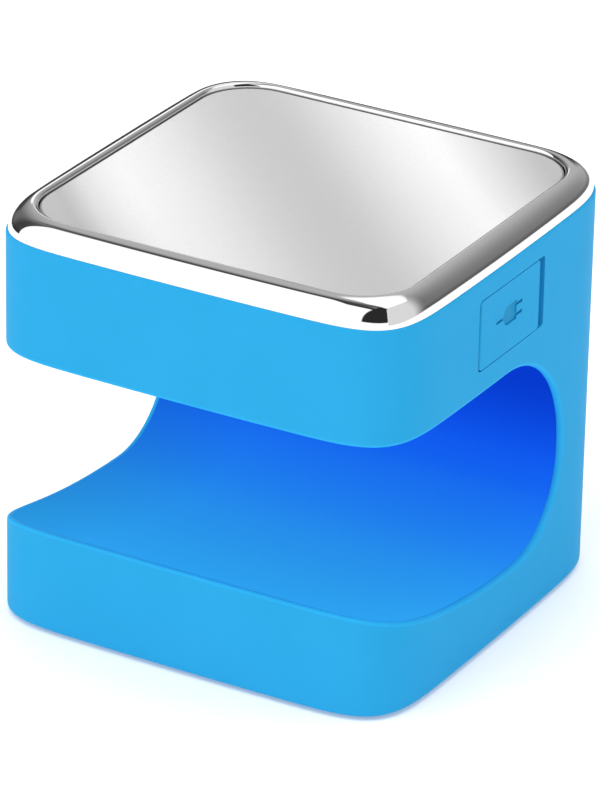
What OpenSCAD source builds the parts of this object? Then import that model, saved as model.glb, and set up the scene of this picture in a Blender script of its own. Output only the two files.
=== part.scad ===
// Cordless C-shaped light dock for a toothbrush head.
// The origin is the centre of the base, on the plane that the feet stand on.
// +Z is up, the mouth of the slot faces -Y and the charging port faces +X.

/* [Shell] */
// Width of the shell along X
shell_w = 68; // [67:0.5:72]
// Depth of the shell along Y
shell_d = 67; // [66:0.5:70]
// Height of the moulded shell, without feet and bezel
shell_h = 60; // [60:0.5:62]
// Radius of the four upright corners
corner_r = 11; // [10:0.5:12]
// Wall thickness of the shell
wall = 2; // [1.8:0.1:2.2]
// How far the feet stand out below the shell
foot_drop = 0.5; // [0.4:0.1:0.8]

/* [Slot] */
// Height of the flat ceiling of the slot
slot_ceiling_z = 42.2; // [41:0.1:42.5]
// Height of the lowest point of the slot floor
slot_floor_z = 9.9; // [9.5:0.1:11]
// Rearmost face of the slot
slot_back_y = 17.6; // [16:0.1:18]
// Radius between the ceiling and the back
slot_top_r = 18; // [16:0.5:19]
// Radius between the back and the floor
slot_low_r = 13; // [12:0.5:14]
// Radius of the gently dished floor
floor_r = 120; // [115:5:140]
// Thickness of the channel that lines the slot
liner_t = 1.6; // [1.2:0.1:1.8]

/* [Top] */
// Radius of the bezel's round shoulder, which is also its height
bezel_h = 3.5; // [3.5:0.1:4]
// Step between the shell and the bezel
bezel_step = 0.3; // [0.2:0.1:0.4]
// Width of the opening that the top plate sits in
plate_hole_w = 59.8; // [59:0.1:60]
// Depth of the opening that the top plate sits in
plate_hole_d = 59.2; // [58.5:0.1:59.5]
// Corner radius of that opening
plate_hole_r = 8.5; // [8:0.1:9]
// Gap all round the top plate
plate_gap = 0.15; // [0.1:0.01:0.2]
// How far the rim of the top plate lies below the bezel
plate_sink = 0.6; // [0.4:0.1:0.8]
// Depth of the dish in the top plate
dish_depth = 1; // [0.8:0.1:1.1]
// Travel of the top plate when it is pressed
press_travel = 0.6; // [0.5:0.05:0.6]

/* [Port] */
// Width of the door along Y
door_w = 17.6; // [17:0.1:18]
// Height of the door
door_h = 10.7; // [10.4:0.1:10.8]
// Height of the middle of the door
door_z = 51.5; // [51.3:0.1:51.6]
// Thickness of the door
door_t = 1.4; // [1.3:0.1:1.5]
// Radius of the round hinge edge of the door
barrel_r = 1; // [0.95:0.05:1]
// Radius of the hinge pin
pin_r = 0.4; // [0.35:0.05:0.4]
// Width of the finger-nail groove beside the door
nail_gap = 1.6; // [1.2:0.1:1.6]

/* [Inside] */
// Length of the battery cell along X
cell_w = 30; // [28:1:32]
// Thickness of the battery cell
cell_t = 6; // [5:0.5:6]
// Height of the battery cell
cell_h = 40; // [36:1:40]
// Thickness of the circuit boards
board_t = 1.2; // [1:0.1:1.2]

/* [Hidden] */
$fn = 96;

shell_blue = [0.22, 0.68, 0.92];
deep_blue = [0.05, 0.35, 0.92];
board_green = [0.05, 0.32, 0.2];
soft_black = [0.08, 0.08, 0.09];
plain_white = [0.9, 0.9, 0.88];
steel_grey = [0.7, 0.7, 0.72];

// Small gaps and overlaps
lap = 0.5;
seat_gap = 0.05;
fit_gap = 0.1;
reach = 60;
fine_fn = 360;

// Slot outline: centres of its arcs
top_c = [slot_back_y - slot_top_r, slot_ceiling_z - slot_top_r];
low_c = [slot_back_y - slot_low_r, slot_floor_z + slot_low_r];
floor_c = [low_c[0], slot_floor_z + floor_r];
// The liner reaches almost to the outer faces, so only a thin lip of shell shows round the slot
lip_t = 0.8;
liner_top_z = slot_ceiling_z + liner_t;

// Corner bosses carry the deck screws above and the cover screws below
boss_r = 3;
boss_x = shell_w / 2 - wall - 4.6;
boss_y = shell_d / 2 - wall - 4.6;
pilot_r = 0.9;
screw_r = 0.85;
clear_r = 1.2;
head_r = 2;
head_h = 0.9;

// Deck that closes the upper arm, on a ledge with a gasket
ledge_w = 1.2;
ledge_t = 1;
gasket_t = 0.4;
top_ledge_z = 57;
deck_z = top_ledge_z + gasket_t;
deck_t = 1.4;

// Bottom cover, against a ledge with a gasket
cover_z = 0.2;
cover_t = 2.1;
low_ledge_z = cover_z + cover_t + gasket_t;
low_boss_h = 6;

// Top plate and the plunger that carries it
plate_rim_z = shell_h + bezel_h - plate_sink;
plate_t = 1.55;
plate_z = plate_rim_z - plate_t;
dish_reach = 29.6;
dish_rings = 8;
carrier_t = 1.4;
carrier_z = plate_z - seat_gap - carrier_t;
carrier_inset = 0.3;
leg_x = 22;
leg_y = 20;
leg_r = 1.5;
leg_run = 0.05;
leg_end_z = 53.4;
guide_z = 53.5;
spring_seat_z = 55;
guide_r = 4;
spring_out_r = 2.4;
spring_in_r = 1.9;
spring_well_r = 2.8;
rod_r = 2;

// Main board and what stands on it
board_z = 48.67;
board_top_z = board_z + board_t;
board_w = 52;
board_d = 38;
board_y = -1;
post_x = 16;
post_y = 13;
post_r = 2.5;
switch_w = 6;
switch_h = 3.5;
switch_top_z = board_top_z + switch_h;
switch_cap_r = 1.7;
switch_cap_h = 1;

// Light board over the window
window_y = -11;
window_w = 30;
window_d = 14;
flange = 2;
light_board_z = 46.4;
light_board_w = 44;
light_board_d = 20;
light_board_t = 1;
light_post_x = 19.2;
light_post_y = 7.5;
light_post_r = 1.6;
lamp_w = 3.5;
lamp_t = 1;
lamp_pitch_x = 9;
lamp_pitch_y = 7;

// Charging port: a pocket for the door, and a well behind it for the plug
face_x = shell_w / 2;
pin_x = face_x - 0.8;
door_y0 = -9.3;
door_hinge_r = 0.9;
door_free_r = 0.6;
pin_y = door_y0 + barrel_r;
door_gap = 0.2;
pocket_x = face_x - door_t - fit_gap;
well_y0 = -6.4;
well_y1 = 7.5;
well_half_h = 4.3;
well_floor_x = face_x - 6.5;
well_wall = 1.2;
port_y = (well_y0 + well_y1) / 2;
socket_w = 8.94;
socket_h = 3.26;
socket_len = 7.3;
socket_wall = 0.3;
seal_w = 1;
seal_t = 1.3;
seal_gap = 0.3;
mark_depth = 0.25;

// Battery in the spine
cell_z = 6;
tape_t = 0.5;
cell_back_y = shell_d / 2 - wall - tape_t;
cell_y = cell_back_y - cell_t;
cell_board_h = 1.2;
plug_x = -9;
plug_y0 = 12.5;
plug_d = 5;
plug_w = 6;
plug_h = 4;

// Route of the red lead, from the cell's small board to the plug; the black one runs beside it
lead_r = 0.6;
lead_sides = 8;
lead_pitch = 2.4;
lead_rings_per_leg = 5;
lead_route = [
    [-8, 28, 47.3], [-8, 27.8, 49.5], [-8, 26, 51.5], [-8, 23, 52.3], [-8, 20, 52.2],
    [-8, 17.6, 52]
];

// ---- helpers ----

module raised() {
    translate([0, 0, foot_drop]) children();
}

module rounded_2d(w, d, r) {
    square([w - 2 * r, d], center = true);
    square([w, d - 2 * r], center = true);
    corners(w / 2 - r, d / 2 - r) circle(r);
}

module corners(x, y) {
    for (sx = [-1, 1], sy = [-1, 1]) translate([sx * x, sy * y]) children();
}

module slab(w, d, r, z0, z1) {
    translate([0, 0, z0]) linear_extrude(z1 - z0) rounded_2d(w, d, r);
}

// The shell's own outline, moved inwards
module shell_slab(inset, z0, z1) {
    slab(shell_w - 2 * inset, shell_d - 2 * inset, corner_r - inset, z0, z1);
}

module shell_ring(inset, width, z0, z1) {
    difference() {
        shell_slab(inset, z0, z1);
        shell_slab(inset + width, z0 - lap, z1 + lap);
    }
}

module box(x0, x1, y0, y1, z0, z1) {
    translate([x0, y0, z0]) cube([x1 - x0, y1 - y0, z1 - z0]);
}

// A shape drawn in the YZ plane, standing from x0 to x1
module along_x(x0, x1) {
    translate([x0, 0, 0]) rotate([90, 0, 90]) linear_extrude(x1 - x0) children();
}

// The slot seen from the side, grown outwards by g
module slot_2d(g) {
    intersection() {
        translate(top_c) circle(slot_top_r + g, $fn = fine_fn);
        translate([top_c[0] - lap, top_c[1] - lap]) square(reach);
    }
    translate([-reach, top_c[1]]) square([reach + top_c[0], slot_top_r + g]);
    translate([-reach, low_c[1]]) square([reach + slot_back_y + g, top_c[1] - low_c[1]]);
    intersection() {
        translate(low_c) circle(slot_low_r + g, $fn = fine_fn);
        translate([low_c[0] - lap, low_c[1] - reach]) square([reach, reach + lap]);
    }
    intersection() {
        translate(floor_c) circle(floor_r + g, $fn = 2 * fine_fn);
        translate([low_c[0] - reach, low_c[1] - reach]) square([reach, reach + lap]);
    }
}

// A countersunk or flat-headed screw, head down at z = 0, shank up
module screw(shank_r, shank_h, head_r, head_h) {
    cylinder(r = head_r, h = head_h);
    cylinder(r = shank_r, h = head_h + shank_h);
}

// A gasket ring just inside the wall, with an eye round each corner screw
module eyed_gasket(z) {
    difference() {
        union() {
            shell_ring(wall + fit_gap, ledge_w - fit_gap, z, z + gasket_t);
            intersection() {
                shell_slab(wall + fit_gap, z, z + gasket_t);
                corners(boss_x, boss_y) cylinder(r = boss_r, h = reach + lap);
            }
        }
        corners(boss_x, boss_y) cylinder(r = clear_r, h = reach + lap);
    }
}

// A tube swept along a route
function unit(v) = v / norm(v);
function route_dir(p, i) =
    unit(p[min(i + 1, len(p) - 1)] - p[max(i - 1, 0)]);
function smooth_point(p, i, t) =
    let (a = p[max(i - 1, 0)], b = p[i], c = p[i + 1], d = p[min(i + 2, len(p) - 1)])
    0.5 * (2 * b + (c - a) * t + (2 * a - 5 * b + 4 * c - d) * t * t
        + (3 * b - a - 3 * c + d) * t * t * t);
function smooth_route(p, n) = concat(
    [for (i = [0 : len(p) - 2], k = [0 : n - 1]) smooth_point(p, i, k / n)],
    [p[len(p) - 1]]
);

module tube(p, r, sides) {
    rings = [
        for (i = [0 : len(p) - 1])
            let (along = route_dir(p, i), side = unit(cross(along, [1, 0, 0])), up = cross(side, along))
            [for (k = [0 : sides - 1])
                p[i] + r * cos(360 * k / sides) * side + r * sin(360 * k / sides) * up]
    ];
    last = len(p) - 1;
    polyhedron(
        points = [for (ring = rings, q = ring) q],
        faces = concat(
            [[for (k = [0 : sides - 1]) k]],
            [for (i = [0 : last - 1], k = [0 : sides - 1]) [
                i * sides + k, (i + 1) * sides + k,
                (i + 1) * sides + (k + 1) % sides, i * sides + (k + 1) % sides
            ]],
            [[for (k = [0 : sides - 1]) last * sides + sides - 1 - k]]
        )
    );
}

// ---- shell ----

// Outline of the door, and of the pocket round it when grown by g. The pocket's hinge corners are a
// little sharper than the door's, so that the door clears them as it swings.
module door_2d(g, extra_y) {
    z0 = door_z - door_h / 2 - g;
    z1 = door_z + door_h / 2 + g;
    y0 = door_y0 - g;
    y1 = door_y0 + door_w + extra_y;
    hinge_r = door_hinge_r - g / 2;
    translate([y0 + hinge_r, z0]) square([y1 - y0 - hinge_r - door_free_r, z1 - z0]);
    translate([y0, z0 + hinge_r]) square([hinge_r + lap, z1 - z0 - 2 * hinge_r]);
    translate([y1 - door_free_r - lap, z0 + door_free_r])
        square([door_free_r + lap, z1 - z0 - 2 * door_free_r]);
    for (z = [z0 + hinge_r, z1 - hinge_r]) translate([y0 + hinge_r, z]) circle(hinge_r);
    for (z = [z0 + door_free_r, z1 - door_free_r])
        translate([y1 - door_free_r, z]) circle(door_free_r);
}

// The box behind the port, grown by g
module port_block(g) {
    box(well_floor_x - well_wall - g, face_x - wall - seat_gap + g, well_y0 - 4 - g, well_y1 + 3.3 + g,
        door_z - well_half_h - 2.2 - g, top_ledge_z + g);
}

function pin_bottom_z() = door_z - door_h / 2 - 1.6;

module housing() {
    color(shell_blue) raised() difference() {
        union() {
            shell_ring(0, wall, 0, shell_h);
            shell_ring(wall - seat_gap, ledge_w, top_ledge_z - ledge_t, top_ledge_z);
            shell_ring(wall - seat_gap, ledge_w, low_ledge_z, low_ledge_z + ledge_t);
            intersection() {
                shell_slab(wall - seat_gap, low_ledge_z, top_ledge_z);
                union() {
                    corners(boss_x, boss_y) translate([0, 0, low_ledge_z])
                        cylinder(r = boss_r, h = low_boss_h);
                    corners(boss_x, boss_y) translate([0, 0, light_board_z])
                        cylinder(r = boss_r, h = top_ledge_z - light_board_z);
                }
            }
        }
        along_x(-reach, reach) slot_2d(0);
        intersection() {
            along_x(-reach, reach) slot_2d(liner_t + seat_gap);
            shell_slab(lip_t, lap, shell_h - lap);
        }
        port_block(seat_gap);
        along_x(face_x - wall - lap, face_x + lap) door_2d(door_gap, nail_gap);
        translate([pin_x, pin_y, pin_bottom_z()]) cylinder(r = pin_r + 0.02, h = reach);
        corners(boss_x, boss_y) translate([0, 0, deck_z - 8]) cylinder(r = pilot_r, h = 8 + lap);
        corners(boss_x, boss_y) translate([0, 0, cover_z]) cylinder(r = pilot_r, h = low_boss_h + 1);
    }
}

module channel_liner() {
    color(deep_blue) raised() {
        difference() {
            intersection() {
                along_x(-reach, reach) difference() {
                    slot_2d(liner_t);
                    slot_2d(0);
                }
                shell_slab(lip_t + seat_gap, lap, shell_h - lap);
            }
            translate([0, window_y, 0])
                slab(window_w, window_d, wall, slot_ceiling_z - lap, liner_top_z + lap);
        }
        translate([0, window_y, liner_top_z - seat_gap]) corners(light_post_x, light_post_y) difference() {
            cylinder(r = light_post_r, h = light_board_z - liner_top_z + seat_gap);
            translate([0, 0, seat_gap]) cylinder(r = 0.6, h = light_board_z);
        }
    }
}

// ---- light over the slot ----

module lamp_window() {
    color([0.85, 0.92, 1, 0.5]) raised() translate([0, window_y, 0]) {
        slab(window_w - 2 * fit_gap, window_d - 2 * fit_gap, wall - fit_gap,
            slot_ceiling_z + fit_gap, liner_top_z + gasket_t + seat_gap);
        slab(window_w + 2 * flange, window_d + 2 * flange, wall + flange,
            liner_top_z + gasket_t, liner_top_z + gasket_t + 0.8);
    }
}

module window_gasket() {
    color(soft_black) raised() translate([0, window_y, 0]) difference() {
        slab(window_w + 2 * flange, window_d + 2 * flange, wall + flange,
            liner_top_z, liner_top_z + gasket_t);
        slab(window_w + 0.6, window_d + 0.6, wall, liner_top_z - lap, liner_top_z + gasket_t + lap);
    }
}

module light_board() {
    color(plain_white) raised() translate([0, window_y, 0]) difference() {
        slab(light_board_w, light_board_d, 1, light_board_z, light_board_z + light_board_t);
        corners(light_post_x, light_post_y) cylinder(r = 0.8, h = reach);
    }
}

module lamps() {
    color([0.95, 0.9, 0.5]) raised()
        for (i = [-1 : 1], j = [-0.5, 0.5])
            translate([i * lamp_pitch_x, window_y + j * lamp_pitch_y, light_board_z - lamp_t]) {
                translate([-lamp_w / 2, -lamp_w / 2, 0.3]) cube([lamp_w, lamp_w, lamp_t - 0.3]);
                cylinder(r = lamp_w / 2 - 0.3, h = lamp_t);
            }
}

module light_board_screws() {
    color(steel_grey) raised() translate([0, window_y, light_board_z + light_board_t])
        corners(light_post_x, light_post_y) mirror([0, 0, 1]) translate([0, 0, -0.7])
            screw(0.55, 2.8, 1.4, 0.7);
}

module board_link() {
    color(soft_black) raised() {
        box(-5.1, 5.1, -5.5, -3, light_board_z + light_board_t, board_z);
    }
}

// ---- main board ----

module main_board() {
    color(board_green) raised() difference() {
        translate([0, board_y, 0]) slab(board_w, board_d, 2, board_z, board_top_z);
        corners(post_x, post_y) cylinder(r = 1.1, h = reach);
    }
}

module board_parts() {
    color([0.2, 0.2, 0.22]) raised() {
        box(-24, -19, -9, -4, board_top_z, board_top_z + 1);
        box(-12, -7, 1, 6, board_top_z, board_top_z + 0.9);
        translate([9, -9, board_top_z]) cylinder(r = 2.5, h = 2.4);
        for (x = [-24 : 2.5 : -14]) box(x, x + 1.6, 1, 1.8, board_top_z, board_top_z + 0.6);
        for (y = [-9 : 2.5 : -4]) box(-14, -12.4, y, y + 0.8, board_top_z, board_top_z + 0.6);
        for (x = [8 : 2.5 : 13]) box(x, x + 1.6, 4, 4.8, board_top_z, board_top_z + 0.6);
    }
}

module main_board_screws() {
    color(steel_grey) raised() corners(post_x, post_y) translate([0, 0, board_z - 0.7])
        screw(screw_r, 5, 1.8, 0.7);
}

module switch_body() {
    color(soft_black) raised() difference() {
        slab(switch_w, switch_w, 0.5, board_top_z, switch_top_z);
        translate([0, 0, switch_top_z - press_travel - 1])
            cylinder(r = switch_cap_r + seat_gap, h = reach);
    }
}

module switch_plunger() {
    color(plain_white) raised() translate([0, 0, switch_top_z - 0.9])
        cylinder(r = switch_cap_r, h = switch_cap_h + 0.9);
}

module usb_socket() {
    x1 = well_floor_x;
    x0 = x1 - socket_len;
    color(steel_grey) raised() translate([0, port_y, door_z]) difference() {
        along_x(x0, x1) rounded_2d(socket_w, socket_h, 1.5);
        along_x(x0 + 1, x1 + lap)
            rounded_2d(socket_w - 2 * socket_wall, socket_h - 2 * socket_wall, 1.2);
    }
}

module usb_tongue() {
    x0 = well_floor_x - socket_len + 1;
    color(soft_black) raised() translate([0, port_y, door_z]) {
        along_x(x0, well_floor_x - 1) square([6.7, 0.7], center = true);
        along_x(x0, x0 + 1.2) rounded_2d(8.2, 2.5, 1.1);
    }
}

// ---- port door ----

// Generic plug sign: a body, two prongs and a cord
module plug_sign_2d() {
    square([2.4, 3], center = true);
    translate([-1.2, 0]) circle(1.5);
    for (side = [-1, 1]) translate([2, side * 0.8]) square([1.8, 0.5], center = true);
    translate([-3.6, 0]) square([2.4, 0.5], center = true);
}

// The well for the plug and the pocket's floor, with the trough that the door's hinge edge turns in
module port_box() {
    color(shell_blue) raised() difference() {
        union() {
            port_block(0);
            along_x(face_x - wall - lap, pocket_x)
                door_2d(door_gap - seat_gap, nail_gap - seat_gap);
        }
        translate([pin_x, pin_y, door_z - door_h]) cylinder(r = barrel_r + door_gap, h = 2 * door_h);
        box(well_floor_x, face_x, well_y0, well_y1, door_z - well_half_h, door_z + well_half_h);
        box(well_floor_x - well_wall - lap, well_floor_x + lap, port_y - socket_w / 2 - fit_gap,
            port_y + socket_w / 2 + fit_gap, door_z - socket_h / 2 - fit_gap,
            door_z + socket_h / 2 + fit_gap);
    }
}

module port_door() {
    color(shell_blue) raised() difference() {
        intersection() {
            union() {
                translate([pin_x, pin_y, door_z - door_h]) cylinder(r = barrel_r, h = 2 * door_h);
                box(face_x - door_t, face_x, pin_y, reach, 0, shell_h);
            }
            along_x(face_x - reach / 2, face_x) door_2d(0, 0);
        }
        translate([pin_x, pin_y, 0]) cylinder(r = pin_r + leg_run, h = shell_h);
        along_x(face_x - mark_depth, face_x + lap)
            translate([door_y0 + door_w / 2 + 0.8, door_z + 0.3]) plug_sign_2d();
    }
}

module door_seal() {
    w = well_y1 - well_y0 - 2 * seal_gap;
    h = 2 * (well_half_h - seal_gap);
    x1 = face_x - door_t;
    color([0.12, 0.45, 0.75]) raised() translate([0, port_y, door_z]) difference() {
        along_x(x1 - seal_t, x1) rounded_2d(w, h, 1);
        along_x(x1 - seal_t - lap, x1 + lap) rounded_2d(w - 2 * seal_w, h - 2 * seal_w, 0.5);
    }
}

module door_pin() {
    color(steel_grey) raised() translate([pin_x, pin_y, pin_bottom_z() + fit_gap])
        cylinder(r = pin_r, h = shell_h - pin_bottom_z() - 2 * fit_gap);
}

// ---- battery ----

module battery_cell() {
    color([0.75, 0.76, 0.78]) raised() translate([0, cell_y + cell_t / 2, cell_z])
        slab(cell_w, cell_t, 2, 0, cell_h);
}

module cell_board() {
    color(board_green) raised()
        box(-cell_w / 2 + 2, cell_w / 2 - 2, cell_y + 1, cell_back_y - 1,
            cell_z + cell_h, cell_z + cell_h + cell_board_h);
}

module battery_tape() {
    color([0.3, 0.3, 0.3]) raised()
        box(-cell_w / 2 + 2, cell_w / 2 - 2, cell_back_y, cell_back_y + tape_t,
            cell_z + 4, cell_z + cell_h - 4);
}

module battery_plug() {
    color(plain_white) raised() difference() {
        box(plug_x - plug_w / 2, plug_x + plug_w / 2, plug_y0, plug_y0 + plug_d,
            board_top_z, board_top_z + plug_h);
        box(plug_x - plug_w / 2 + 0.8, plug_x + plug_w / 2 - 0.8, plug_y0 - lap, plug_y0 + 1,
            board_top_z + 0.8, board_top_z + plug_h - 0.8);
    }
}

module battery_leads() {
    route = smooth_route(lead_route, lead_rings_per_leg);
    color("firebrick") raised() {
        tube(route, lead_r, lead_sides);
        translate([-lead_pitch, 0, 0]) tube(route, lead_r, lead_sides);
    }
}

// ---- deck and plunger ----

module deck() {
    color(plain_white) raised() difference() {
        union() {
            shell_slab(wall + fit_gap, deck_z, deck_z + deck_t);
            corners(leg_x, leg_y) translate([0, 0, guide_z])
                cylinder(r = guide_r, h = deck_z - guide_z + lap);
            corners(post_x, post_y) translate([0, 0, board_top_z])
                cylinder(r = post_r, h = deck_z - board_top_z + lap);
        }
        corners(leg_x, leg_y) cylinder(r = leg_r + leg_run, h = reach + lap);
        corners(leg_x, leg_y) translate([0, 0, spring_seat_z]) cylinder(r = spring_well_r, h = reach);
        corners(post_x, post_y) cylinder(r = pilot_r, h = board_top_z + 5.2);
        corners(boss_x, boss_y) cylinder(r = clear_r, h = reach + lap);
        corners(boss_x, boss_y) translate([0, 0, deck_z + deck_t - head_h])
            cylinder(r = head_r + fit_gap, h = reach);
        cylinder(r = rod_r + 3, h = reach + lap);
    }
}

module deck_gasket() {
    color(soft_black) raised() eyed_gasket(top_ledge_z);
}

module deck_screws() {
    color(steel_grey) raised() corners(boss_x, boss_y) translate([0, 0, deck_z + deck_t])
        mirror([0, 0, 1]) screw(screw_r, 6.5, head_r, head_h);
}

module rod_seal() {
    color(soft_black) raised() difference() {
        translate([0, 0, deck_z - 0.6]) cylinder(r = rod_r + 5, h = 0.6);
        cylinder(r = rod_r + seat_gap, h = reach);
    }
}

module return_springs() {
    color(steel_grey) raised() corners(leg_x, leg_y) difference() {
        translate([0, 0, spring_seat_z]) cylinder(r = spring_out_r, h = carrier_z - spring_seat_z);
        cylinder(r = spring_in_r, h = reach + lap);
    }
}

module plate_slab(inset, z0, z1) {
    slab(plate_hole_w - 2 * inset, plate_hole_d - 2 * inset, plate_hole_r - inset, z0, z1);
}

module plate_carrier() {
    color(soft_black) raised() difference() {
        union() {
            plate_slab(carrier_inset, carrier_z, carrier_z + carrier_t);
            corners(leg_x, leg_y) translate([0, 0, leg_end_z])
                cylinder(r = leg_r, h = carrier_z - leg_end_z + lap);
            translate([0, 0, switch_top_z + switch_cap_h + seat_gap])
                cylinder(r = rod_r, h = carrier_z - switch_top_z - switch_cap_h);
        }
        corners(leg_x, leg_y) cylinder(r = 0.6, h = leg_end_z + 4.2);
    }
}

module leg_screws() {
    color(steel_grey) raised() corners(leg_x, leg_y) translate([0, 0, leg_end_z - 0.7])
        screw(0.55, 4, 2.1, 0.7);
}

// The dish's curve from its middle outwards, as a few gently sloping rings
function dish_curve() = [
    for (k = [0 : dish_rings])
        let (share = k / dish_rings)
        [dish_reach * share, dish_depth * (share * share - 1)]
];

module top_plate() {
    color([0.82, 0.82, 0.83]) raised() difference() {
        plate_slab(plate_gap, plate_z, plate_rim_z);
        translate([0, 0, plate_rim_z]) rotate_extrude()
            polygon(concat(dish_curve(), [[dish_reach, lap], [0, lap]]));
    }
}

// Quarter disc that gives the bezel its round shoulder, drawn outwards from x
module shoulder_2d(x) {
    intersection() {
        translate([x, 0]) circle(bezel_h);
        translate([x, 0]) square(bezel_h + 1);
    }
}

module bezel() {
    core_inset = bezel_step + bezel_h;
    core_r = corner_r - core_inset;
    cx = shell_w / 2 - corner_r;
    cy = shell_d / 2 - corner_r;
    skirt_inset = wall + fit_gap;
    skirt_w = 1.2;
    color([0.75, 0.76, 0.78]) raised() {
        difference() {
            translate([0, 0, shell_h]) {
                shell_slab(core_inset, 0, bezel_h);
                for (k = [0 : 3]) {
                    side = k % 2 == 0 ? [cx, cy] : [cy, cx];
                    rotate(90 * k) translate(side) rotate_extrude(angle = 90) shoulder_2d(core_r);
                    rotate(90 * k) translate([side[0], side[1], 0]) rotate([90, 0, 0])
                        linear_extrude(2 * side[1]) shoulder_2d(core_r);
                }
            }
            plate_slab(0, shell_h - lap, shell_h + bezel_h + lap);
        }
        shell_ring(skirt_inset, skirt_w, deck_z + deck_t + fit_gap, shell_h + seat_gap);
    }
}

// ---- underside ----

foot_x = 20;
foot_y = 19.5;
foot_r = 4.5;
foot_seat = 0.8;

module bottom_cover() {
    color(shell_blue) raised() difference() {
        shell_slab(wall + fit_gap, cover_z, cover_z + cover_t);
        corners(foot_x, foot_y) cylinder(r = foot_r + fit_gap, h = cover_z + foot_seat);
        corners(boss_x, boss_y) cylinder(r = clear_r, h = reach);
        corners(boss_x, boss_y) cylinder(r = head_r + fit_gap, h = cover_z + fit_gap + head_h);
    }
}

module cover_gasket() {
    color(soft_black) raised() eyed_gasket(cover_z + cover_t);
}

module cover_screws() {
    color(steel_grey) raised() corners(boss_x, boss_y) translate([0, 0, cover_z + fit_gap])
        screw(screw_r, 5.4, head_r, head_h);
}

module feet() {
    color(soft_black) corners(foot_x, foot_y)
        cylinder(r = foot_r, h = foot_drop + cover_z + foot_seat);
}

housing();
channel_liner();
lamp_window();
window_gasket();
light_board();
lamps();
light_board_screws();
board_link();
main_board();
board_parts();
main_board_screws();
switch_body();
switch_plunger();
usb_socket();
usb_tongue();
port_box();
port_door();
door_seal();
door_pin();
battery_cell();
cell_board();
battery_tape();
battery_plug();
battery_leads();
deck();
deck_gasket();
deck_screws();
rod_seal();
return_springs();
plate_carrier();
leg_screws();
top_plate();
bezel();
bottom_cover();
cover_gasket();
cover_screws();
feet();
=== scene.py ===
import math

import bpy
import bmesh
from mathutils import Matrix, Vector


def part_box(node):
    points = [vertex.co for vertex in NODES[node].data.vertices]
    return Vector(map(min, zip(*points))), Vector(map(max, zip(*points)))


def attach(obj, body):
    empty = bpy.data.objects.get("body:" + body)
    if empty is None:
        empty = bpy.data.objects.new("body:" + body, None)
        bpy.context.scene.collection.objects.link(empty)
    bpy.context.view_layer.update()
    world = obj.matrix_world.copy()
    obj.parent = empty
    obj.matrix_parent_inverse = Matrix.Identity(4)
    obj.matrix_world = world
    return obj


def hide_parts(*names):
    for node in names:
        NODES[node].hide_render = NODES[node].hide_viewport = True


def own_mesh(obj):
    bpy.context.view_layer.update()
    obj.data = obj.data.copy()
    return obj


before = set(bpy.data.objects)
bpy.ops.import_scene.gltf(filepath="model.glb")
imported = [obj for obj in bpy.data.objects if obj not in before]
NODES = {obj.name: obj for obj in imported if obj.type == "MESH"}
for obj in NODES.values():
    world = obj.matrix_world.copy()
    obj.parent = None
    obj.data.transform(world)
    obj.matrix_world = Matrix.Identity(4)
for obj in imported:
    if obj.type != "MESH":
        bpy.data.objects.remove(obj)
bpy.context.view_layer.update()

MM = 0.001

# ---- places and sizes, from the frame ----
SHELL_LO, SHELL_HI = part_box("housing")
BEZEL_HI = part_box("bezel")[1]
PLATE_LO, PLATE_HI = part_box("top_plate")
DOOR_LO, DOOR_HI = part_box("port_door")
DECK_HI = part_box("deck")[1]
BASE_Z = SHELL_LO.z
HALF_W = SHELL_HI.x
HALF_D = SHELL_HI.y

# ---- the design's own sizes, in metres ----
OUTLINE_POINTS = 288
CROWN = 0.55 * MM
CORNER_REACH = 20.27 * MM
CORNER_POWER = 5.0
WALL = 2.0 * MM
LIP = 0.85 * MM
SLOT_FILLET = 0.6 * MM
BASE_FILLET = 0.8 * MM
RIM_FILLET = 0.25 * MM
SLOT_CEILING = BASE_Z + 42.2 * MM
SLOT_FLOOR = BASE_Z + 9.9 * MM
SLOT_BACK = 17.6 * MM
SLOT_TOP_R = 18 * MM
SLOT_LOW_R = 13 * MM
FLOOR_R = 120 * MM
LINER_T = 1.6 * MM
REACH = 60 * MM
PLATE_HOLE = (29.9 * MM, 29.6 * MM, 8.5 * MM)
PLATE_GAP = 0.15 * MM
BEZEL_STEP = 0.3 * MM
BEZEL_ROLL = 0.55 * MM
SKIRT_INSET = 2.1 * MM
SKIRT_W = 1.2 * MM
DISH = 1.0 * MM
PLATE_EDGE = 0.25 * MM
# the dish's underside is this share of its width
PLATE_FOOT = 0.96
# edges that turn by more degrees than this are corners, and are rounded
CORNER_ANGLE = 50
# faces that meet at fewer degrees than this are shaded as one surface
SMOOTH_ANGLE = 32

# ---- ledges, bosses and posts inside the shell ----
TOP_LEDGE = BASE_Z + 57 * MM
LOW_LEDGE = BASE_Z + 2.7 * MM
LEDGE_W = 1.3 * MM
LEDGE_T = 1.0 * MM
BOSS_R = 3.0 * MM
BOSS_X = HALF_W - 6.6 * MM
BOSS_Y = HALF_D - 6.6 * MM
TOP_BOSS_Z = BASE_Z + 46.4 * MM
LOW_BOSS_H = 6.0 * MM
PILOT_R = 0.9 * MM
TOP_PILOT_Z = BASE_Z + 49.4 * MM
LOW_PILOT_Z = BASE_Z + 7.2 * MM
POST_R = 1.6 * MM
POST_HOLE_R = 0.6 * MM
SCREW_HEAD_R = 1.4 * MM
SEAT_GAP = 0.05 * MM
LAP = 0.1 * MM

# ---- port ----
PORT_GAP = 0.2 * MM
PORT_SEAM = 0.14 * MM
NAIL_GAP = 1.6 * MM
PORT_HINGE_R = 0.8 * MM
PORT_FREE_R = 0.6 * MM

# ---- springs ----
SPRING_R = 2.4 * MM
SPRING_WIRE_R = 0.25 * MM

# ---- colours and glows ----
MATT_IOR = 1.1
# the slot edge's faint glow is a painted highlight
EDGE_HIGHLIGHT_GLOW = 0.12
# the liner's glow is painted light, standing in for the lamps' light
LINER_PAINTED_GLOW = 0.83
FLOOR_GLOW = 0.22
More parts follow.
